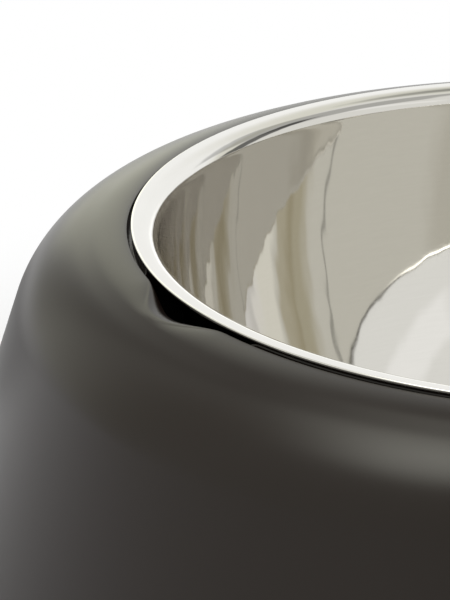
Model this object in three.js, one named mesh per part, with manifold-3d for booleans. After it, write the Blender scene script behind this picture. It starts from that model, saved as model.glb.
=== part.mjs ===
// Dog bowl: a moulded holder on six rubber feet, with a drawn steel bowl that lifts out.
// Millimetres, +Z up, the bowl's axis on Z, the floor at z = 0.
import * as THREE from 'three';
import { mergeVertices } from 'three/addons/utils/BufferGeometryUtils.js';
import Module from 'manifold-3d';

const wasm = await Module();
wasm.setup();

const DEG = Math.PI / 180;

// Rim and the room left under the bowl
const RIM_RADIUS = 80;
const FLOOR_CLEARANCE = 5.4;

// Steel bowl
const SHEET = 0.6;
const FLANGE_FLAT = 1.36;
const FLANGE_FILLET = 3.3;
const WALL_ARC = 93;
const BOWL_DEPTH = 64;
const CORNER_RADIUS = 14;

// Holder lip and shoulder
const LIP_GAP = 0.84;
const LIP_DROP = 0.8;
const LIP_ROUND = 0.2;
const LIP_EDGE_SLOPE = 2.4 * DEG;
const LIP_CROWN = 18;
const LIP_SLOPE = 22 * DEG;
const LIP_RUN = 2.35;
const SHOULDER_RADIUS = 19.8;
const WALL_SLOPE = 72.3 * DEG;
const SHELL_THICKNESS = 3;
const SHELL_LIFT = 1.8;
const EDGE_ROUND = 0.9;

// Ledge that carries the flange, with a shadow groove outside it
const SEAT_CLEARANCE = 0.3;
const BORE_CLEARANCE = 0.5;
const LEDGE_ROUND = 2.1;
const LEDGE_INSET = 0.5;
const LEDGE_THICKNESS = 3.8;
const GROOVE_DEPTH = 1.9;
const GROOVE_TAPER = 0.15;

// Finger notch: the lip's edge is rounded away and the ledge behind it is left out.
// Its angle is counted from +X, and its widths from its middle.
const NOTCH_ANGLE = -144 * DEG;
const NOTCH_FLAT = 0.5 * DEG;
const NOTCH_HALF_WIDTH = 9.6 * DEG;
const NOTCH_REACH = 1.2;
const NOTCH_ROUND = 3.6;
const NOTCH_DEPTH = 7.5;
const LEDGE_CUT = 11 * DEG;
const LEDGE_END = 14 * DEG;

// Rubber feet in posts under the holder
const FOOT_COUNT = 6;
const FOOT_INSET = 7;
const FOOT_RADIUS = 6.5;
const FOOT_HEIGHT = 2;
const STEM_RADIUS = 2.5;
const STEM_HEIGHT = 6.3;
const FOOT_CLEARANCE = 0.3;
const STEM_END_CLEARANCE = 0.5;
const POST_RADIUS = 8;
const FOOT_SOFT = 0.5;

// How finely round forms are divided
const TURN_STEPS = 80;
const NOTCH_STEPS = 20;
const POST_STEPS = 24;
const FOOT_STEPS = 20;
const FILLET_STEPS = 5;
const WALL_STEPS = 8;
const CORNER_STEPS = 5;
const LEDGE_STEPS = 3;
const LIP_STEPS = 4;
const CROWN_STEPS = 3;
const SHOULDER_STEPS = 6;
const INSIDE_STEPS = 5;
const LEAST_STEP = 0.4 * DEG;

const RIM_HEIGHT = BOWL_DEPTH + SHEET + FLOOR_CLEARANCE;

// Points of an arc in the (radius, height) plane, from one angle to another
function arc(cx, cz, radius, from, to, steps) {
  const points = [];
  for (let i = 0; i <= steps; i += 1) {
    const a = from + ((to - from) * i) / steps;
    points.push([cx + radius * Math.cos(a), cz + radius * Math.sin(a)]);
  }
  return points;
}

function latheFrom(points, segments) {
  const profile = points.map(([r, z]) => new THREE.Vector2(r, z));
  const geometry = new THREE.LatheGeometry(profile, segments);
  geometry.rotateX(Math.PI / 2);
  return geometry;
}

function toSolid(geometry) {
  const bare = geometry.clone();
  bare.deleteAttribute('normal');
  bare.deleteAttribute('uv');
  const merged = mergeVertices(bare, 1e-5);
  const mesh = new wasm.Mesh({
    numProp: 3,
    vertProperties: new Float32Array(merged.attributes.position.array),
    triVerts: new Uint32Array(merged.index.array),
  });
  mesh.merge();
  const solid = new wasm.Manifold(mesh);
  if (solid.volume() >= 0) {
    return solid;
  }
  const flipped = new Uint32Array(merged.index.array);
  for (let i = 0; i < flipped.length; i += 3) {
    const first = flipped[i];
    flipped[i] = flipped[i + 1];
    flipped[i + 1] = first;
  }
  return new wasm.Manifold(new wasm.Mesh({
    numProp: 3,
    vertProperties: new Float32Array(merged.attributes.position.array),
    triVerts: flipped,
  }));
}

function toGeometry(solid) {
  const mesh = solid.getMesh();
  const geometry = new THREE.BufferGeometry();
  geometry.setAttribute('position', new THREE.BufferAttribute(mesh.vertProperties, 3));
  geometry.setIndex(new THREE.BufferAttribute(mesh.triVerts, 1));
  geometry.computeVertexNormals();
  return geometry;
}

// Steel bowl: flange, fillet, one arc down the wall, corner, flat bottom.
// One skin is drawn at a distance from the food side, so both sides stay parallel.
function steelSkin(offset) {
  const points = [];
  const filletR = FLANGE_FILLET - offset;
  const filletX = RIM_RADIUS - FLANGE_FLAT;
  const filletZ = RIM_HEIGHT - FLANGE_FILLET;
  points.push([RIM_RADIUS, RIM_HEIGHT - offset]);
  points.push(...arc(filletX, filletZ, filletR, Math.PI / 2, Math.PI, FILLET_STEPS));
  const wallX = filletX - FLANGE_FILLET - WALL_ARC;
  const wallZ = filletZ;
  const cornerZ = RIM_HEIGHT - BOWL_DEPTH + CORNER_RADIUS;
  const reach = WALL_ARC - CORNER_RADIUS;
  const drop = cornerZ - wallZ;
  const cornerX = wallX + Math.sqrt(reach * reach - drop * drop);
  const turn = Math.atan2(drop, cornerX - wallX);
  points.push(...arc(wallX, wallZ, WALL_ARC + offset, 0, turn, WALL_STEPS).slice(1));
  const corner = arc(cornerX, cornerZ, CORNER_RADIUS + offset, turn, -Math.PI / 2, CORNER_STEPS);
  points.push(...corner.slice(1));
  points.push([0, RIM_HEIGHT - BOWL_DEPTH - offset]);
  return points;
}

const steelProfile = [...steelSkin(SHEET).reverse(), ...steelSkin(0)];
const steelSolid = toSolid(latheFrom(steelProfile, TURN_STEPS));

// Outer line of the holder: crowned lip, a straight run, then the shoulder down to the wall.
// Each stretch can be drawn moved inward by a distance.
const lipRadius = RIM_RADIUS + LIP_GAP;
const lipHeight = RIM_HEIGHT - LIP_DROP;
const crownX = lipRadius - LIP_CROWN * Math.sin(LIP_EDGE_SLOPE);
const crownZ = lipHeight - LIP_CROWN * Math.cos(LIP_EDGE_SLOPE);
const runTop = Math.PI / 2 - LIP_SLOPE;
const runX = crownX + LIP_CROWN * Math.sin(LIP_SLOPE) + LIP_RUN * Math.cos(LIP_SLOPE);
const runZ = crownZ + LIP_CROWN * Math.cos(LIP_SLOPE) - LIP_RUN * Math.sin(LIP_SLOPE);
const shoulderX = runX - SHOULDER_RADIUS * Math.sin(LIP_SLOPE);
const shoulderZ = runZ - SHOULDER_RADIUS * Math.cos(LIP_SLOPE);

function crown(inset, from, steps) {
  return arc(crownX, crownZ, LIP_CROWN - inset, from, runTop, steps);
}

function shoulder(inset, steps) {
  return arc(shoulderX, shoulderZ, SHOULDER_RADIUS - inset, runTop, Math.PI / 2 - WALL_SLOPE, steps);
}

function wallRadius(inset, height) {
  const [r, z] = shoulder(inset, 1)[1];
  return r + (z - height) / Math.tan(WALL_SLOPE);
}

const boreRadius = RIM_RADIUS - FLANGE_FLAT - FLANGE_FILLET + SHEET + BORE_CLEARANCE;
const lipInner = lipRadius - LIP_ROUND;
const ledgeOuter = RIM_RADIUS - LEDGE_INSET;
const ledgeHeight = RIM_HEIGHT - SHEET - SEAT_CLEARANCE;
const ledgeUnder = ledgeHeight - LEDGE_THICKNESS;
const grooveFloor = ledgeHeight - GROOVE_DEPTH;
const notchUnder = RIM_HEIGHT - NOTCH_DEPTH;

function smooth(from, to, value) {
  const t = Math.min(Math.max((value - from) / (to - from), 0), 1);
  return t * t * (3 - 2 * t);
}

function mix(a, b, t) {
  return a + (b - a) * t;
}

// Bore, rounded ledge and groove, as they run round most of the rim
const ledgePoints = [
  [lipRadius, ledgeUnder],
  [boreRadius, ledgeUnder],
  ...arc(boreRadius + LEDGE_ROUND, ledgeHeight - LEDGE_ROUND, LEDGE_ROUND, Math.PI, Math.PI / 2, LEDGE_STEPS),
  [ledgeOuter, ledgeHeight],
  [ledgeOuter + GROOVE_TAPER, grooveFloor],
  [lipInner - GROOVE_TAPER, grooveFloor],
];

// The lip at one angle: the ledge, or the plain edge that hangs in the notch, then the rounded edge
// and the crowned top that it runs into
function lipAt(angle) {
  const away = Math.abs(angle - NOTCH_ANGLE);
  const notch = 1 - smooth(NOTCH_FLAT, NOTCH_HALF_WIDTH, away);
  const cut = 1 - smooth(LEDGE_CUT, LEDGE_END, away);
  const edge = mix(lipInner, RIM_RADIUS + NOTCH_REACH, notch);
  const round = mix(LIP_ROUND, NOTCH_ROUND, notch);
  const centreX = edge + round;
  const rise = Math.sqrt((LIP_CROWN - round) ** 2 - (centreX - crownX) ** 2);
  const centreZ = crownZ + rise;
  const meets = Math.atan2(rise, centreX - crownX);
  const upright = ledgePoints.map((point, i) => {
    const t = (i - 1) / (ledgePoints.length - 1);
    return [edge, mix(notchUnder, centreZ, t)];
  });
  upright[0] = [edge + SHELL_THICKNESS, notchUnder];
  const ledge = ledgePoints.map(([r, z], i) => [mix(r, upright[i][0], cut), mix(z, upright[i][1], cut)]);
  const rounded = arc(centreX, centreZ, round, Math.PI, meets, LIP_STEPS);
  return [...ledge, ...rounded, ...crown(0, meets, CROWN_STEPS).slice(1)];
}

// The rest of the holder's section: shoulder, flaring wall, base edge and the inside
const baseOuter = wallRadius(0, SHELL_LIFT);
const baseInner = wallRadius(SHELL_THICKNESS, SHELL_LIFT);
const ledgeMeets = Math.asin((ledgeUnder - crownZ) / (LIP_CROWN - SHELL_THICKNESS));
const insideTop = Math.max(ledgeMeets, runTop + LEAST_STEP);
const holderSection = [
  ...shoulder(0, SHOULDER_STEPS),
  [wallRadius(0, SHELL_LIFT + EDGE_ROUND), SHELL_LIFT + EDGE_ROUND],
  [baseOuter - EDGE_ROUND, SHELL_LIFT],
  [baseInner + EDGE_ROUND, SHELL_LIFT],
  [wallRadius(SHELL_THICKNESS, SHELL_LIFT + EDGE_ROUND), SHELL_LIFT + EDGE_ROUND],
  ...shoulder(SHELL_THICKNESS, INSIDE_STEPS).reverse(),
  ...crown(SHELL_THICKNESS, insideTop, 1).reverse(),
];

// Turning steps, closer together across the notch
function turningSteps() {
  const angles = [];
  for (let i = 0; i < TURN_STEPS; i += 1) {
    angles.push((i * Math.PI * 2) / TURN_STEPS - Math.PI);
  }
  for (let i = 0; i <= NOTCH_STEPS; i += 1) {
    angles.push(NOTCH_ANGLE + LEDGE_END * ((2 * i) / NOTCH_STEPS - 1));
  }
  angles.sort((a, b) => a - b);
  return angles.filter((a, i) => i === 0 || a - angles[i - 1] > LEAST_STEP);
}

// The section is turned all the way round, with the lip that each angle has
function holderShell() {
  const angles = turningSteps();
  const columns = [...angles, angles[0]].map((angle) => {
    const lip = lipAt(angle);
    return [...lip, ...holderSection, lip[0]].map(([r, z]) => [r * Math.cos(angle), r * Math.sin(angle), z]);
  });
  const plain = lipAt(NOTCH_ANGLE + Math.PI);
  const geometry = latheFrom([...plain, ...holderSection, plain[0]], angles.length);
  columns.flat().forEach(([x, y, z], i) => geometry.attributes.position.setXYZ(i, x, y, z));
  return toSolid(geometry);
}

const footCircle = baseInner - FOOT_INSET;

// A round bar standing at a foot's place
function bar(radius, from, to, segments, angle) {
  const geometry = latheFrom([[0, from], [radius, from], [radius, to], [0, to]], segments);
  geometry.translate(footCircle * Math.cos(angle), footCircle * Math.sin(angle), 0);
  return toSolid(geometry);
}

// The feet stand evenly to both sides of the notch
const footAngles = [];
for (let i = 0; i < FOOT_COUNT; i += 1) {
  footAngles.push(NOTCH_ANGLE + ((i + 0.5) * Math.PI * 2) / FOOT_COUNT);
}

const postFoot = FOOT_HEIGHT + FOOT_CLEARANCE;
const half = SHELL_THICKNESS / 2;
const withinWall = toSolid(latheFrom([
  [0, 0],
  [wallRadius(half, 0), 0],
  ...shoulder(half, SHOULDER_STEPS).reverse(),
  [0, shoulder(half, 1)[0][1]],
], TURN_STEPS));

let holderSolid = holderShell();
for (const angle of footAngles) {
  const post = bar(POST_RADIUS, postFoot, RIM_HEIGHT, POST_STEPS, angle).intersect(withinWall);
  holderSolid = holderSolid.add(post);
}
const socketTop = FOOT_HEIGHT + STEM_HEIGHT + STEM_END_CLEARANCE;
for (const angle of footAngles) {
  holderSolid = holderSolid.subtract(bar(STEM_RADIUS + FOOT_CLEARANCE, 0, socketTop, FOOT_STEPS, angle));
}

// Rubber foot: a pad with softened edges and a stem that pushes into its post
const footTop = FOOT_HEIGHT + STEM_HEIGHT;
const footSolid = toSolid(latheFrom([
  [0, 0],
  [FOOT_RADIUS - FOOT_SOFT, 0],
  [FOOT_RADIUS, FOOT_SOFT],
  [FOOT_RADIUS, FOOT_HEIGHT - FOOT_SOFT],
  [FOOT_RADIUS - FOOT_SOFT, FOOT_HEIGHT],
  [STEM_RADIUS, FOOT_HEIGHT],
  [STEM_RADIUS, footTop - FOOT_SOFT],
  [STEM_RADIUS - FOOT_SOFT, footTop],
  [0, footTop],
], FOOT_STEPS));

const moulding = new THREE.MeshStandardMaterial({ color: 0x3d3a35, roughness: 0.42, metalness: 0 });
const polished = new THREE.MeshStandardMaterial({ color: 0xc9c6bd, roughness: 0.08, metalness: 1 });
const rubber = new THREE.MeshStandardMaterial({ color: 0x1d1d1c, roughness: 0.85, metalness: 0 });

const bowl = new THREE.Group();
bowl.name = 'dog_bowl';

function addPart(name, solid, material) {
  const mesh = new THREE.Mesh(toGeometry(solid), material);
  mesh.name = name;
  bowl.add(mesh);
  return mesh;
}

addPart('holder_shell', holderSolid, moulding);
addPart('steel_bowl', steelSolid, polished);
footAngles.forEach((angle, i) => {
  const foot = addPart(`rubber_foot_${i + 1}`, footSolid, rubber);
  foot.position.set(footCircle * Math.cos(angle), footCircle * Math.sin(angle), 0);
});

export default bowl;
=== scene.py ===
# Looks of the dog bowl: a satin moulded holder, a polished steel bowl that lifts out, rubber feet.
# Metres, +Z up, the bowl's axis on Z and the floor at z = 0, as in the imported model.
import math

import bpy
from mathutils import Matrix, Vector


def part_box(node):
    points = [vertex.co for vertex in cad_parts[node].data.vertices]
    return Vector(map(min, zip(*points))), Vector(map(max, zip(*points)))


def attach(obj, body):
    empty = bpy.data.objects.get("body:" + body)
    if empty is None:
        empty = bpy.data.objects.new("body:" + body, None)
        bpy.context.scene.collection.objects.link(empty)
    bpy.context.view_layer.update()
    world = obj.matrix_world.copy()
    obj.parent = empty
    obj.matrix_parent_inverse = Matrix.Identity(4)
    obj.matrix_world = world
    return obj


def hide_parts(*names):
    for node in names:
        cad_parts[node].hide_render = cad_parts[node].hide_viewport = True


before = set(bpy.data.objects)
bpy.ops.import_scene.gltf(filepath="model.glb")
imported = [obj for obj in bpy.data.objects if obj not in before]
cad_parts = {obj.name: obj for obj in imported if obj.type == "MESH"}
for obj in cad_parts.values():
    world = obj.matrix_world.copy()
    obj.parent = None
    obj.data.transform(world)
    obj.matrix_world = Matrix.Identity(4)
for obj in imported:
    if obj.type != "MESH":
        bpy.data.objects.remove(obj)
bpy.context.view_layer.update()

MM = 0.001
TURN = 2 * math.pi
QUARTER = math.pi / 2

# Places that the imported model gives
steel_low, steel_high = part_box("steel_bowl")
holder_low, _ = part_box("holder_shell")
foot_low, foot_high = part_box("rubber_foot_1")
foot_nodes = sorted(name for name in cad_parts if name.startswith("rubber_foot"))
foot_middle = (foot_low + foot_high) / 2

RIM_RADIUS = steel_high.x
RIM_HEIGHT = steel_high.z
STEEL_UNDERSIDE = steel_low.z
SHELL_LIFT = holder_low.z
FOOT_COUNT = len(foot_nodes)
FOOT_CIRCLE = math.hypot(foot_middle.x, foot_middle.y)
FOOT_ANGLE = math.atan2(foot_middle.y, foot_middle.x)
FOOT_RADIUS = (foot_high.x - foot_low.x) / 2
FOOT_TOP = foot_high.z
NOTCH_ANGLE = FOOT_ANGLE - TURN / FOOT_COUNT / 2

# Steel bowl
SHEET = 0.6 * MM
SHEET_EDGE = 0.14 * MM
FLANGE_FLAT = 1.36 * MM
FLANGE_FILLET = 3.3 * MM
WALL_ARC = 93 * MM
CORNER_RADIUS = 14 * MM

# Holder
LIP_GAP = 0.84 * MM
LIP_DROP = 0.80 * MM
LIP_EDGE_SLOPE = math.radians(2.4)
LIP_CROWN = 18 * MM
LIP_SLOPE = math.radians(22)
LIP_RUN = 2.35 * MM
LIP_ROUND = 0.2 * MM
SHOULDER_RADIUS = 19.8 * MM
WALL_SLOPE = math.radians(72.3)
SHELL_THICKNESS = 3 * MM
EDGE_ROUND = 0.9 * MM

# Ledge under the flange, and the groove outside it
SEAT_CLEARANCE = 0.3 * MM
BORE_CLEARANCE = 0.5 * MM
LEDGE_ROUND = 2.1 * MM
LEDGE_INSET = 0.5 * MM
LEDGE_THICKNESS = 3.8 * MM
GROOVE_DEPTH = 1.9 * MM
GROOVE_TAPER = 0.15 * MM

# Finger notch, counted from its middle
NOTCH_FLAT = math.radians(0.5)
NOTCH_HALF_WIDTH = math.radians(9.6)
NOTCH_REACH = 1.2 * MM
NOTCH_ROUND = 3.6 * MM
NOTCH_DEPTH = 7.5 * MM
LEDGE_CUT = math.radians(11)
LEDGE_END = math.radians(14)

# Feet and the posts that hold them
FOOT_HEIGHT = 2 * MM
FOOT_SOFT = 0.5 * MM
STEM_RADIUS = 2.5 * MM
POST_RADIUS = 8 * MM
FOOT_CLEARANCE = 0.3 * MM
STEM_END_CLEARANCE = 0.5 * MM
POST_SOFT = 0.4 * MM

# How finely round forms are divided
TURN_STEPS = 512
FOOT_STEPS = 48
FOOD_SIDE_STEPS = dict(fillet_steps=20, wall_steps=72, corner_steps=20)
UNDERSIDE_STEPS = dict(fillet_steps=8, wall_steps=28, corner_steps=10)
LIP_STEPS = 14
CROWN_STEPS = 12
SHOULDER_STEPS = 28
INSIDE_CROWN_STEPS = 3
INSIDE_SHOULDER_STEPS = 10
EDGE_STEPS = 6
SOFT_STEPS = 5
SHARP_STEPS = 4
MERGE_DISTANCE = 0.001 * MM


class Wire:
    """A socket of a node tree. Arithmetic on it adds Math nodes."""

    def __init__(self, graph, socket):
        self.graph = graph
        self.socket = socket

    def also(self, name):
        """Another output of the same node."""
        return Wire(self.graph, self.socket.node.outputs[name])

    def __add__(self, other):
        return self.graph.maths("ADD", self, other)

    def __radd__(self, other):
        return self.graph.maths("ADD", other, self)

    def __sub__(self, other):
        return self.graph.maths("SUBTRACT", self, other)

    def __rsub__(self, other):
        return self.graph.maths("SUBTRACT", other, self)

    def __mul__(self, other):
        return self.graph.maths("MULTIPLY", self, other)

    def __rmul__(self, other):
        return self.graph.maths("MULTIPLY", other, self)

    def __truediv__(self, other):
        return self.graph.maths("DIVIDE", self, other)

    def __rtruediv__(self, other):
        return self.graph.maths("DIVIDE", other, self)

    def __neg__(self):
        return self.graph.maths("MULTIPLY", self, -1.0)


class Graph:
    """A node tree that is written as expressions."""

    def __init__(self, tree):
        self.tree = tree
        tree.nodes.clear()

    def node(self, kind, settings=None, inputs=None, output=0):
        """A node of that type: its settings first, then the values or links of its sockets."""
        made = self.tree.nodes.new(kind)
        for name, value in (settings or {}).items():
            setattr(made, name, value)
        for key, value in (inputs or {}).items():
            if isinstance(value, Wire):
                self.tree.links.new(value.socket, made.inputs[key])
            else:
                made.inputs[key].default_value = value
        return Wire(self, made.outputs[output]) if len(made.outputs) else None

    def maths(self, operation, *values):
        return self.node("ShaderNodeMath", {"operation": operation}, dict(enumerate(values)))

    def vector(self, operation, *values, output=0):
        return self.node("ShaderNodeVectorMath", {"operation": operation}, dict(enumerate(values)), output)

    def step(self, value, start, end, low=0.0, high=1.0):
        """A smooth step from low to high as the value goes from start to end."""
        sockets = {"Value": value, "From Min": start, "From Max": end, "To Min": low, "To Max": high}
        return self.node("ShaderNodeMapRange", {"interpolation_type": "SMOOTHSTEP"}, sockets)

    def mix_vectors(self, factor, first, second):
        return self.node("ShaderNodeMix", {"data_type": "VECTOR"}, {0: factor, 4: first, 5: second}, 1)

    def mix_colours(self, factor, first, second):
        return self.node("ShaderNodeMix", {"data_type": "RGBA"}, {0: factor, 6: first, 7: second}, 2)


# Sections in the (radius, height) plane
def arc(centre, radius, start, end, steps):
    """Points of an arc from one angle to another."""
    points = []
    for i in range(steps + 1):
        angle = start + (end - start) * i / steps
        points.append((centre[0] + radius * math.cos(angle), centre[1] + radius * math.sin(angle)))
    return points


def run(start, end, steps):
    """Points of a straight stretch, its two ends left out."""
    return [(mix(start[0], end[0], i / steps), mix(start[1], end[1], i / steps)) for i in range(1, steps)]


def mix(first, second, share):
    return first + (second - first) * share


def joined(*stretches, steps=3):
    """One line through the stretches, with straight runs between them."""
    points = list(stretches[0])
    for stretch in stretches[1:]:
        points += run(points[-1], stretch[0], steps)
        points += stretch
    return points


def steel_skin(offset, fillet_steps, wall_steps, corner_steps):
    """One side of the steel, at a distance from the food side, from the flange to the middle."""
    fillet = (RIM_RADIUS - FLANGE_FLAT, RIM_HEIGHT - FLANGE_FILLET)
    wall = (fillet[0] - FLANGE_FILLET - WALL_ARC, fillet[1])
    bottom = STEEL_UNDERSIDE + SHEET
    drop = bottom + CORNER_RADIUS - wall[1]
    corner = (wall[0] + math.sqrt((WALL_ARC - CORNER_RADIUS) ** 2 - drop ** 2), bottom + CORNER_RADIUS)
    turn = math.atan2(drop, corner[0] - wall[0])
    points = arc(fillet, FLANGE_FILLET - offset, QUARTER, math.pi, fillet_steps)
    points += arc(wall, WALL_ARC + offset, 0, turn, wall_steps)[1:]
    points += arc(corner, CORNER_RADIUS + offset, turn, -QUARTER, corner_steps)[1:]
    return joined(points, [(0, bottom - offset)], steps=6)


def steel_section():
    inside = steel_skin(0, **FOOD_SIDE_STEPS)
    outside = steel_skin(SHEET, **UNDERSIDE_STEPS)
    edge_x = RIM_RADIUS - SHEET_EDGE
    upper = arc((edge_x, RIM_HEIGHT - SHEET_EDGE), SHEET_EDGE, 0, QUARTER, SHARP_STEPS)
    lower = arc((edge_x, RIM_HEIGHT - SHEET + SHEET_EDGE), SHEET_EDGE, -QUARTER, 0, SHARP_STEPS)
    return joined(outside[::-1], lower, upper, inside)


LIP_RADIUS = RIM_RADIUS + LIP_GAP
LIP_HEIGHT = RIM_HEIGHT - LIP_DROP
LIP_INNER = LIP_RADIUS - LIP_ROUND
CROWN_X = LIP_RADIUS - LIP_CROWN * math.sin(LIP_EDGE_SLOPE)
CROWN_Z = LIP_HEIGHT - LIP_CROWN * math.cos(LIP_EDGE_SLOPE)
RUN_X = CROWN_X + LIP_CROWN * math.sin(LIP_SLOPE) + LIP_RUN * math.cos(LIP_SLOPE)
RUN_Z = CROWN_Z + LIP_CROWN * math.cos(LIP_SLOPE) - LIP_RUN * math.sin(LIP_SLOPE)
SHOULDER_X = RUN_X - SHOULDER_RADIUS * math.sin(LIP_SLOPE)
SHOULDER_Z = RUN_Z - SHOULDER_RADIUS * math.cos(LIP_SLOPE)
LEDGE_TOP = RIM_HEIGHT - SHEET - SEAT_CLEARANCE
LEDGE_UNDER = LEDGE_TOP - LEDGE_THICKNESS


def crown(inset, start, steps):
    """The lip's crowned top, moved inward, from an angle near its edge to its straight run."""
    return arc((CROWN_X, CROWN_Z), LIP_CROWN - inset, start, QUARTER - LIP_SLOPE, steps)


def shoulder(inset, steps):
    """The shoulder's arc, moved inward, from the lip's straight run down to the wall."""
    start, end = QUARTER - LIP_SLOPE, QUARTER - WALL_SLOPE
    return arc((SHOULDER_X, SHOULDER_Z), SHOULDER_RADIUS - inset, start, end, steps)


def wall_radius(inset, height):
    radius, top = shoulder(inset, 1)[1]
    return radius + (top - height) / math.tan(WALL_SLOPE)


def ledge():
    """Underside, bore, rounded ledge and groove, as they run round most of the rim."""
    bore = RIM_RADIUS - FLANGE_FLAT - FLANGE_FILLET + SHEET + BORE_CLEARANCE
    floor = LEDGE_TOP - GROOVE_DEPTH
    outer = RIM_RADIUS - LEDGE_INSET
    centre = (bore + LEDGE_ROUND, LEDGE_TOP - LEDGE_ROUND)
    rounded = arc(centre, LEDGE_ROUND, math.pi, QUARTER, EDGE_STEPS)
    groove = [(outer, LEDGE_TOP), (outer + GROOVE_TAPER, floor), (LIP_INNER - GROOVE_TAPER, floor)]
    under = [(LIP_RADIUS, LEDGE_UNDER), (bore, LEDGE_UNDER)]
    return joined(under[:1], under[1:], rounded, groove[:1], groove[1:2], groove[2:])


def lip(edge, round_radius):
    """The lip's rounded edge, from its upright inner side, and the shoulder that it runs into."""
    x = edge + round_radius
    rise = math.sqrt((LIP_CROWN - round_radius) ** 2 - (x - CROWN_X) ** 2)
    meets = math.atan2(rise, x - CROWN_X)
    rounded = arc((x, CROWN_Z + rise), round_radius, math.pi, meets, LIP_STEPS)
    return joined(rounded + crown(0, meets, CROWN_STEPS)[1:], shoulder(0, SHOULDER_STEPS))


def upright(edge, top, count):
    """The plain edge that hangs in the notch instead of the ledge, with as many points."""
    low = RIM_HEIGHT - NOTCH_DEPTH
    points = [(edge, mix(low, top, i / count)) for i in range(count)]
    points[0] = (edge + SHELL_THICKNESS, low)
    return points


def shell_side():
    """Flaring wall, base edge and the inside, the same all the way round."""
    outer_foot = (wall_radius(0, SHELL_LIFT + EDGE_ROUND), SHELL_LIFT + EDGE_ROUND)
    inner_foot = (wall_radius(SHELL_THICKNESS, SHELL_LIFT + EDGE_ROUND), SHELL_LIFT + EDGE_ROUND)
    outer = base_edge(outer_foot, (wall_radius(0, SHELL_LIFT) - EDGE_ROUND, SHELL_LIFT))
    inner = base_edge((wall_radius(SHELL_THICKNESS, SHELL_LIFT) + EDGE_ROUND, SHELL_LIFT), inner_foot)
    inside_top = math.asin((LEDGE_UNDER - CROWN_Z) / (LIP_CROWN - SHELL_THICKNESS))
    inside = crown(SHELL_THICKNESS, inside_top, INSIDE_CROWN_STEPS)
    inside += shoulder(SHELL_THICKNESS, INSIDE_SHOULDER_STEPS)
    return joined(joined(outer, inner), inside[::-1], steps=8)


def base_edge(start, end):
    """A softened edge between two points, bulging down and outward from the straight line."""
    bend = (start[0], SHELL_LIFT) if start[1] > end[1] else (end[0], SHELL_LIFT)
    points = []
    for i in range(EDGE_STEPS + 1):
        t = i / EDGE_STEPS
        first = [mix(a, b, t) for a, b in zip(start, bend)]
        second = [mix(a, b, t) for a, b in zip(bend, end)]
        points.append(tuple(mix(a, b, t) for a, b in zip(first, second)))
    return points


def holder_sections():
    """The holder's closed section with its ledge, with the ledge cut away, and in the notch's middle."""
    plain_ledge = ledge()
    plain_lip = lip(LIP_INNER, LIP_ROUND)
    notch_edge = RIM_RADIUS + NOTCH_REACH
    notch_lip = lip(notch_edge, NOTCH_ROUND)
    count = len(plain_ledge)
    sections = []
    for inner, rounded in (
        (plain_ledge, plain_lip),
        (upright(LIP_INNER, plain_lip[0][1], count), plain_lip),
        (upright(notch_edge, notch_lip[0][1], count), notch_lip),
    ):
        section = joined(joined(inner, rounded), shell_side(), steps=16)
        sections.append(section + run(section[-1], section[0], 4) + section[:1])
    return sections


def foot_section():
    rim = FOOT_RADIUS - FOOT_SOFT
    pad_low = arc((rim, FOOT_SOFT), FOOT_SOFT, -QUARTER, 0, SOFT_STEPS)
    pad_high = arc((rim, FOOT_HEIGHT - FOOT_SOFT), FOOT_SOFT, 0, QUARTER, SOFT_STEPS)
    stem_edge = (STEM_RADIUS - FOOT_SOFT, FOOT_TOP - FOOT_SOFT)
    stem_top = arc(stem_edge, FOOT_SOFT, 0, QUARTER, SOFT_STEPS)
    return joined([(0, 0)], pad_low, pad_high, [(STEM_RADIUS, FOOT_HEIGHT)], stem_top, [(0, FOOT_TOP)])


def post_section():
    """A post with the socket for a foot's stem, its top left for the wall to cut."""
    low = FOOT_HEIGHT + FOOT_CLEARANCE
    bore = STEM_RADIUS + FOOT_CLEARANCE
    end = FOOT_TOP + STEM_END_CLEARANCE
    edge = arc((POST_RADIUS - POST_SOFT, low + POST_SOFT), POST_SOFT, -QUARTER, 0, SHARP_STEPS)
    bore_line = [(0, end), (bore, end), (bore, low)]
    top = [(POST_RADIUS, SHOULDER_Z), (0, SHOULDER_Z)]
    return joined(bore_line[:1], bore_line[1:2], bore_line[2:], edge, top[:1], top[1:], steps=6)


# Geometry node trees
def new_tree(name, sockets):
    """An empty geometry tree with named inputs, and the graph and the wires of those inputs."""
    tree = bpy.data.node_groups.new(name, "GeometryNodeTree")
    graph = Graph(tree)
    for label, kind in sockets:
        tree.interface.new_socket(label, in_out="INPUT", socket_type="NodeSocket" + kind)
    tree.interface.new_socket("Piece", in_out="OUTPUT", socket_type="NodeSocketGeometry")
    first = graph.node("NodeGroupInput")
    wires = {label: first.also(label) for label, _ in sockets}
    return tree, graph, wires


def end_tree(graph, geometry, finish):
    """Every tree ends as one plain mesh with its finish set."""
    plain = graph.node("GeometryNodeRealizeInstances", inputs={"Geometry": geometry})
    dressed = graph.node("GeometryNodeSetMaterial", inputs={"Geometry": plain, "Material": finish})
    graph.node("NodeGroupOutput", inputs={"Piece": dressed})


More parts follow.
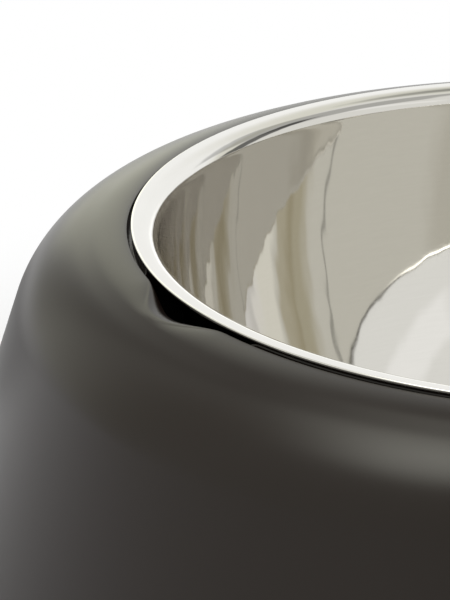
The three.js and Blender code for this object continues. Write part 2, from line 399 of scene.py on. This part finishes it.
def turned_tree():
    """A section turned round Z. Over the notch it passes to its cut section, then to its notched one."""
    tree, graph, wires = new_tree("turned_section", [
        ("Section", "Geometry"), ("Turn Steps", "Int"), ("Notch Angle", "Float"),
        ("Notch Flat", "Float"), ("Notch Half Width", "Float"),
        ("Ledge Cut", "Float"), ("Ledge End", "Float"), ("Finish", "Material"),
    ])
    section = wires["Section"]
    count = graph.node("GeometryNodeAttributeDomainSize", {"component": "MESH"}, {"Geometry": section})
    sockets = {"Vertices X": wires["Turn Steps"] + 1, "Vertices Y": count}
    grid = graph.node("GeometryNodeMeshGrid", inputs=sockets)
    index = graph.node("GeometryNodeInputIndex")
    column = graph.maths("FLOOR", (index + 0.5) / count)
    row = index - column * count
    angle = column * TURN / wires["Turn Steps"]

    def sampled(value):
        settings = {"data_type": "FLOAT_VECTOR", "domain": "POINT"}
        sockets = {"Geometry": section, "Value": value, "Index": row}
        return graph.node("GeometryNodeSampleIndex", settings, sockets)

    def stored(name):
        return graph.node("GeometryNodeInputNamedAttribute", {"data_type": "FLOAT_VECTOR"}, {"Name": name})

    away = graph.maths("ABSOLUTE", graph.maths("WRAP", angle - wires["Notch Angle"], math.pi, -math.pi))
    cut = graph.step(away, wires["Ledge Cut"], wires["Ledge End"], 1.0, 0.0)
    notch = graph.step(away, wires["Notch Flat"], wires["Notch Half Width"], 1.0, 0.0)
    plain = sampled(graph.node("GeometryNodeInputPosition"))
    point = graph.mix_vectors(cut, plain, sampled(stored("cut_section")))
    point = graph.mix_vectors(notch, point, sampled(stored("notch_section")))
    settings = {"rotation_type": "Z_AXIS"}
    place = graph.node("ShaderNodeVectorRotate", settings, {"Vector": point, "Angle": angle})
    turned = graph.node("GeometryNodeSetPosition", inputs={"Geometry": grid, "Position": place})
    sockets = {"Geometry": turned, "Distance": MERGE_DISTANCE}
    closed = graph.node("GeometryNodeMergeByDistance", inputs=sockets)
    outward = graph.node("GeometryNodeFlipFaces", inputs={"Mesh": closed})
    smooth = graph.node("GeometryNodeSetShadeSmooth", inputs={"Geometry": outward})
    end_tree(graph, smooth, wires["Finish"])
    return tree


def ring_tree(turned):
    """A turned piece that stands several times in a ring, cut off under the holder's sloping wall."""
    tree, graph, wires = new_tree("ring_under_wall", [
        ("Section", "Geometry"), ("Turn Steps", "Int"), ("Count", "Int"), ("Circle", "Float"),
        ("First Angle", "Float"), ("Wall Radius", "Float"), ("Wall Rise", "Float"), ("Finish", "Material"),
    ])
    sockets = {"Section": wires["Section"], "Turn Steps": wires["Turn Steps"], "Finish": wires["Finish"]}
    piece = graph.node("GeometryNodeGroup", {"node_tree": turned}, sockets)
    sockets = {"Vertices": wires["Count"], "Radius": wires["Circle"]}
    spots = graph.node("GeometryNodeMeshCircle", inputs=sockets)
    turn = graph.node("ShaderNodeCombineXYZ", inputs={"Z": wires["First Angle"]})
    spots = graph.node("GeometryNodeTransform", inputs={"Geometry": spots, "Rotation": turn})
    ring = graph.node("GeometryNodeInstanceOnPoints", inputs={"Points": spots, "Instance": piece})
    ring = graph.node("GeometryNodeRealizeInstances", inputs={"Geometry": ring})
    place = graph.node("ShaderNodeSeparateXYZ", inputs={0: graph.node("GeometryNodeInputPosition")})
    radius = graph.maths("SQRT", place * place + place.also("Y") * place.also("Y"))
    under_wall = (wires["Wall Radius"] - radius) * wires["Wall Rise"]
    height = graph.maths("MINIMUM", place.also("Z"), under_wall)
    cut = graph.node("ShaderNodeCombineXYZ", inputs={"X": place, "Y": place.also("Y"), "Z": height})
    ring = graph.node("GeometryNodeSetPosition", inputs={"Geometry": ring, "Position": cut})
    end_tree(graph, ring, wires["Finish"])
    return tree


def grown(name, sections, tree, values):
    """The piece that a tree makes from a section, as a plain mesh at the origin."""
    plain = sections[0]
    mesh = bpy.data.meshes.new(name)
    mesh.from_pydata([(r, 0, z) for r, z in plain], [(i, i + 1) for i in range(len(plain) - 1)], [])
    for label, points in zip(("cut_section", "notch_section"), sections[1:]):
        stored = mesh.attributes.new(label, "FLOAT_VECTOR", "POINT")
        for spot, (r, z) in zip(stored.data, points):
            spot.vector = (r, 0, z)
    piece = bpy.data.objects.new(name, mesh)
    bpy.context.scene.collection.objects.link(piece)
    modifier = piece.modifiers.new("form", "NODES")
    modifier.node_group = tree
    for socket in tree.interface.items_tree:
        if socket.name in values:
            modifier[socket.identifier] = values[socket.name]
    ready = piece.evaluated_get(bpy.context.evaluated_depsgraph_get())
    made = bpy.data.meshes.new_from_object(ready)
    piece.modifiers.clear()
    piece.data = made
    made.name = name
    bpy.data.meshes.remove(mesh)
    return piece


# Finishes: linear colours, scales per metre, depths in metres
MOULDING_COLOURS = (0.0074, 0.0036, 0.0029, 1), (0.0088, 0.0044, 0.0035, 1)
MOULDING_ROUGHNESS = 0.26
MOULDING_UNEVEN = 0.05
MOULDING_IOR = 1.39
PATCH_SCALE = 38.0
GRAIN_SCALE = 2600.0
GRAIN_DEPTH = 0.004 * MM
STEEL_COLOURS = (0.70, 0.685, 0.67, 1), (0.73, 0.715, 0.70, 1)
STEEL_ROUGHNESS = 0.02
STEEL_UNEVEN = 0.03
WAVE_SCALE = 95.0
WAVE_STRETCH = (1.0, 1.0, 0.22)
WAVE_DEPTH = 0.09 * MM
MARK_SCALES = (160.0, 160.0, 2400.0)
RUBBER_COLOURS = (0.011, 0.011, 0.011, 1), (0.022, 0.021, 0.020, 1)
RUBBER_ROUGHNESS = 0.78
RUBBER_UNEVEN = 0.12
TOOTH_SCALE = 1800.0
TOOTH_DEPTH = 0.02 * MM
DUST_SCALE = 240.0
DUST_START = 0.55
DUST_FULL = 0.75


def new_finish(name):
    material = bpy.data.materials.new(name)
    material.use_nodes = True
    return material, Graph(material.node_tree)


def end_finish(graph, sockets):
    shader = graph.node("ShaderNodeBsdfPrincipled", inputs=sockets)
    graph.node("ShaderNodeOutputMaterial", inputs={"Surface": shader})


def object_place(graph):
    return graph.node("ShaderNodeTexCoord", output="Object")


def noise(graph, place, scale, detail):
    return graph.node("ShaderNodeTexNoise", inputs={"Vector": place, "Scale": scale, "Detail": detail})


def bump(graph, height, distance):
    sockets = {"Height": height, "Distance": distance, "Strength": 1.0}
    return graph.node("ShaderNodeBump", inputs=sockets)


def satin_moulding():
    """Dark grey-brown moulding with a fine satin grain and faint uneven gloss."""
    material, graph = new_finish("satin_moulding")
    place = object_place(graph)
    patches = noise(graph, place, PATCH_SCALE, 3.0)
    grain = noise(graph, place, GRAIN_SCALE, 2.0)
    end_finish(graph, {
        "Base Color": graph.mix_colours(patches, *MOULDING_COLOURS),
        "Roughness": MOULDING_ROUGHNESS + MOULDING_UNEVEN * patches,
        "IOR": MOULDING_IOR,
        "Normal": bump(graph, grain, GRAIN_DEPTH),
    })
    return material


def polished_steel():
    """Mirror-polished sheet with faint waves down the wall from drawing, and fine polishing marks."""
    material, graph = new_finish("polished_steel")
    place = object_place(graph)
    waves = noise(graph, graph.vector("MULTIPLY", place, WAVE_STRETCH), WAVE_SCALE, 2.0)
    marks = noise(graph, graph.vector("MULTIPLY", place, MARK_SCALES), 1.0, 3.0)
    end_finish(graph, {
        "Base Color": graph.mix_colours(marks, *STEEL_COLOURS),
        "Metallic": 1.0,
        "Roughness": STEEL_ROUGHNESS + STEEL_UNEVEN * marks,
        "Normal": bump(graph, waves, WAVE_DEPTH),
    })
    return material


def matt_rubber():
    """Black moulded rubber with a fine tooth and a little dust."""
    material, graph = new_finish("matt_rubber")
    place = object_place(graph)
    tooth = noise(graph, place, TOOTH_SCALE, 3.0)
    dust = graph.step(noise(graph, place, DUST_SCALE, 4.0), DUST_START, DUST_FULL)
    end_finish(graph, {
        "Base Color": graph.mix_colours(dust, *RUBBER_COLOURS),
        "Roughness": RUBBER_ROUGHNESS + RUBBER_UNEVEN * dust,
        "Normal": bump(graph, tooth, TOOTH_DEPTH),
    })
    return material


# Pieces
def dress(piece, body, slot, *nodes):
    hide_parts(*nodes)
    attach(piece, body)
    return piece


def make_bowl():
    moulding, steel, rubber = satin_moulding(), polished_steel(), matt_rubber()
    turned = turned_tree()
    ring = ring_tree(turned)
    notch = {
        "Turn Steps": TURN_STEPS, "Notch Angle": NOTCH_ANGLE, "Notch Flat": NOTCH_FLAT,
        "Notch Half Width": NOTCH_HALF_WIDTH, "Ledge Cut": LEDGE_CUT, "Ledge End": LEDGE_END,
    }
    holder = grown("holder", holder_sections(), turned, {**notch, "Finish": moulding})
    dress(holder, "holder", "moulding", "holder_shell")

    section = steel_section()
    bowl = grown("bowl", [section] * 3, turned, {"Turn Steps": TURN_STEPS, "Finish": steel})
    dress(bowl, "bowl", "steel", "steel_bowl")

    half = SHELL_THICKNESS / 2
    under_wall = {
        "Turn Steps": FOOT_STEPS, "Count": FOOT_COUNT, "Circle": FOOT_CIRCLE, "First Angle": FOOT_ANGLE,
        "Wall Radius": wall_radius(half, 0), "Wall Rise": math.tan(WALL_SLOPE),
    }
    section = post_section()
    posts = grown("foot_posts", [section] * 3, ring, {**under_wall, "Finish": moulding})
    dress(posts, "holder", "moulding", "holder_shell")
    section = foot_section()
    feet = grown("rubber_feet", [section] * 3, ring, {**under_wall, "Finish": rubber})
    dress(feet, "holder", "rubber", *foot_nodes)


# Studio
CAMERA_PLACE = (0.0, -0.48061, 0.24560)
CAMERA_YAW = -0.1331
CAMERA_PITCH = 0.3806
CAMERA_LENS = 176.65
CAMERA_CLIP = 0.01
SENSOR = 36.0
MIRROR_BOUNCES = 32
WHITE = (1, 1, 1, 1)
BLACK = (0, 0, 0, 1)

# The floor passes from matt to white between two distances, and in reflections its white is darkened by a
# painted shade at the left
FLOOR_HALF = 3.0
FLOOR_COLOURS = (0.79, 0.79, 0.87, 1), (0.82, 0.82, 0.90, 1)
FLOOR_SCALE = 9.0
FLOOR_NEAR = 0.13
FLOOR_FAR = 0.22
SHADE_DEPTH = 0.55
SHADE_MIDDLE = -52
SHADE_HALF = 8
SHADE_SOFT = 10
SHADE_REACH = 0.32
SHADE_END = 0.50

# Directions round the bowl, in degrees: azimuth from +Y towards +X, elevation from the floor up
TENT_COLOUR = (0.90, 0.90, 0.80)
TENT_OPENINGS = {
    "roof": dict(shade=0.38, azimuth=-26, elevation=70, radius=16, fade=12),
    "roof_front": dict(shade=0.70, azimuth=175, elevation=66, radius=14, fade=10),
    "roof_slot": dict(shade=0.45, azimuth=40, elevation=68, radius=5, fade=10),
}
LAMPS = {
    "left_lamp": dict(colour=(4.4, 4.4, 3.9), azimuth=-52, elevation=76, radius=3, fade=18),
    "front_lamp": dict(colour=(4.8, 4.8, 4.3), azimuth=-122, elevation=70, radius=3, fade=18),
}

# Panels that brighten the tent
PANELS = {
    "backdrop": dict(colour=(0.26, 0.27, 0.34), middle=11, half=40, soft=8, top=24, fade=30),
    "backdrop_foot": dict(colour=(0.30, 0.30, 0.27), middle=-4, half=2, soft=32, top=3, fade=7),
    "left_panel": dict(colour=(0.20, 0.20, 0.17), middle=-56, half=13, soft=10, top=16, fade=18),
    "left_back": dict(colour=(0.55, 0.55, 0.30), middle=-20, half=6.5, soft=3, top=30, fade=10),
    "right_panel": dict(colour=(0.02, 0.02, 0.07), middle=105, half=35, soft=8, top=60, fade=12),
    "right_streak": dict(
        colour=(0.13, 0.13, 0.14), middle=117, half=14, soft=6, foot=27, top=33, fade=3, rise=-0.3),
    "front_right": dict(colour=(0.22, 0.22, 0.20), middle=151, half=9, soft=4, top=30, fade=8),
}

# Gaps and stands that take a share of the light away
GAPS = {
    "left_gap": dict(taken=(0.40, 0.40, 0.40), middle=-37, half=5, soft=8, top=56, fade=10),
    "left_shade": dict(taken=(0.13, 0.14, 0.16), middle=-80, half=5, soft=14, top=56, fade=10),
    "right_stand": dict(
        taken=(0.80, 0.80, 0.80), middle=64, half=4, soft=4, top=34, fade=6, lean=0.48),
    "right_top": dict(
        taken=(0.42, 0.42, 0.42), middle=85, half=35, soft=8, foot=31, top=52, fade=6, rise=0.37),
    "camera_gap": dict(taken=(0.26, 0.30, 0.40), middle=171.5, half=3.5, soft=4, top=50, fade=10),
    "camera_side": dict(taken=(0.30, 0.34, 0.45), middle=-179.5, half=1, soft=11, top=50, fade=10),
    "camera_stand": dict(taken=(0.45, 0.45, 0.45), middle=-159, half=0.5, soft=0.8, top=50, fade=10),
}


def camera():
    lens = bpy.data.cameras.new("camera")
    lens.lens = CAMERA_LENS
    lens.sensor_width = SENSOR
    lens.clip_start = CAMERA_CLIP
    stand = bpy.data.objects.new("camera", lens)
    bpy.context.scene.collection.objects.link(stand)
    level = math.cos(CAMERA_PITCH)
    aside, forward = math.sin(CAMERA_YAW) * level, math.cos(CAMERA_YAW) * level
    ahead = Vector((aside, forward, -math.sin(CAMERA_PITCH)))
    stand.location = CAMERA_PLACE
    stand.rotation_mode = "QUATERNION"
    stand.rotation_quaternion = ahead.to_track_quat("-Z", "Y")
    bpy.context.scene.camera = stand


def azimuth_of(graph, axes):
    return graph.maths("DEGREES", graph.maths("ARCTAN2", axes, axes.also("Y")))


def painted_floor_shade(graph, place, away):
    """How far a spot on the floor lies in the painted shade to the left of the bowl, which darkens its
    white in reflections only.
    """
    azimuth = azimuth_of(graph, graph.node("ShaderNodeSeparateXYZ", inputs={0: place}))
    aside = graph.maths("ABSOLUTE", azimuth - SHADE_MIDDLE)
    across = graph.step(aside, SHADE_HALF, SHADE_HALF + SHADE_SOFT, 1.0, 0.0)
    return across * graph.step(away, SHADE_REACH, SHADE_END, 1.0, 0.0)


def studio_floor():
    """A pale floor that keeps the shadow near the bowl and passes into the white background, with a
    painted shade at the left that only reflections see.
    """
    mesh = bpy.data.meshes.new("studio_floor")
    sides = ((-1, -1), (1, -1), (1, 1), (-1, 1))
    corners = [(x * FLOOR_HALF, y * FLOOR_HALF, 0.0) for x, y in sides]
    mesh.from_pydata(corners, [], [(0, 1, 2, 3)])
    floor = bpy.data.objects.new("studio_floor", mesh)
    bpy.context.scene.collection.objects.link(floor)
    material, graph = new_finish("pale_floor")
    place = object_place(graph)
    pale = graph.mix_colours(noise(graph, place, FLOOR_SCALE, 3.0), *FLOOR_COLOURS)
    matt = graph.node("ShaderNodeBsdfDiffuse", inputs={"Color": pale})
    path = graph.node("ShaderNodeLightPath", output="Is Camera Ray")
    mirrored = path.also("Is Glossy Ray")
    away = graph.vector("LENGTH", place, output="Value")
    # Painted shade: the floor's white is darkened to the left of the bowl, for mirrored rays only
    shade = painted_floor_shade(graph, place, away) * mirrored * SHADE_DEPTH
    glow = graph.mix_colours(shade, WHITE, BLACK)
    white = graph.node("ShaderNodeEmission", inputs={"Color": glow, "Strength": 1.0})
    seen = graph.maths("MAXIMUM", path, mirrored)
    far = graph.step(away, FLOOR_NEAR, FLOOR_FAR)
    surface = graph.node("ShaderNodeMixShader", inputs={0: far * seen, 1: matt, 2: white})
    graph.node("ShaderNodeOutputMaterial", inputs={"Surface": surface})
    mesh.materials.append(material)


def studio_world():
    """A pale tent with openings, panels, gaps and two lamps. The camera sees a plain white background."""
    world = bpy.data.worlds.new("studio")
    bpy.context.scene.world = world
    world.use_nodes = True
    graph = Graph(world.node_tree)
    direction = graph.node("ShaderNodeTexCoord", output="Generated")
    axes = graph.node("ShaderNodeSeparateXYZ", inputs={0: direction})
    azimuth = azimuth_of(graph, axes)
    elevation = graph.maths("DEGREES", graph.maths("ARCSINE", axes.also("Z")))

    def share(patch):
        """How far a direction lies in a patch: its sides may lean, and its foot and top may rise."""
        aside = azimuth - elevation * patch.get("lean", 0.0) - patch["middle"]
        aside = graph.maths("WRAP", aside, 180.0, -180.0)
        level = elevation - aside * patch.get("rise", 0.0)
        off = graph.maths("ABSOLUTE", aside)
        inside = graph.step(off, patch["half"], patch["half"] + patch["soft"], 1.0, 0.0)
        inside = inside * graph.step(level, patch["top"], patch["top"] + patch["fade"], 1.0, 0.0)
        if "foot" in patch:
            inside = inside * graph.step(level, patch["foot"] - patch["fade"], patch["foot"])
        return inside

    def disc(spot):
        """How far a direction lies in a round spot of the tent."""
        turn, climb = math.radians(spot["azimuth"]), math.radians(spot["elevation"])
        level = math.cos(climb)
        middle = (math.sin(turn) * level, math.cos(turn) * level, math.sin(climb))
        facing = graph.vector("DOT_PRODUCT", direction, middle, output="Value")
        away = graph.maths("DEGREES", graph.maths("ARCCOSINE", facing))
        return graph.step(away, spot["radius"], spot["radius"] + spot["fade"], 1.0, 0.0)

    def lit(light, colour, part):
        return graph.vector("ADD", light, graph.mix_vectors(part, (0, 0, 0), colour))

    light = TENT_COLOUR
    for opening in TENT_OPENINGS.values():
        light = graph.mix_vectors(disc(opening) * opening["shade"], light, (0, 0, 0))
    for panel in PANELS.values():
        light = lit(light, panel["colour"], share(panel))
    for gap in GAPS.values():
        kept = [1 - part for part in gap["taken"]]
        light = graph.vector("MULTIPLY", light, graph.mix_vectors(share(gap), (1, 1, 1), kept))
    for lamp in LAMPS.values():
        light = lit(light, lamp["colour"], disc(lamp))
    path = graph.node("ShaderNodeLightPath", output="Is Camera Ray")
    colour = graph.mix_vectors(path, light, (1, 1, 1))
    glow = graph.node("ShaderNodeBackground", inputs={"Color": colour, "Strength": 1.0})
    graph.node("ShaderNodeOutputWorld", inputs={"Surface": glow})


camera()
studio_floor()
studio_world()
make_bowl()
bpy.context.scene.view_settings.view_transform = "Standard"
bpy.context.scene.cycles.max_bounces = MIRROR_BOUNCES
bpy.context.scene.cycles.glossy_bounces = MIRROR_BOUNCES
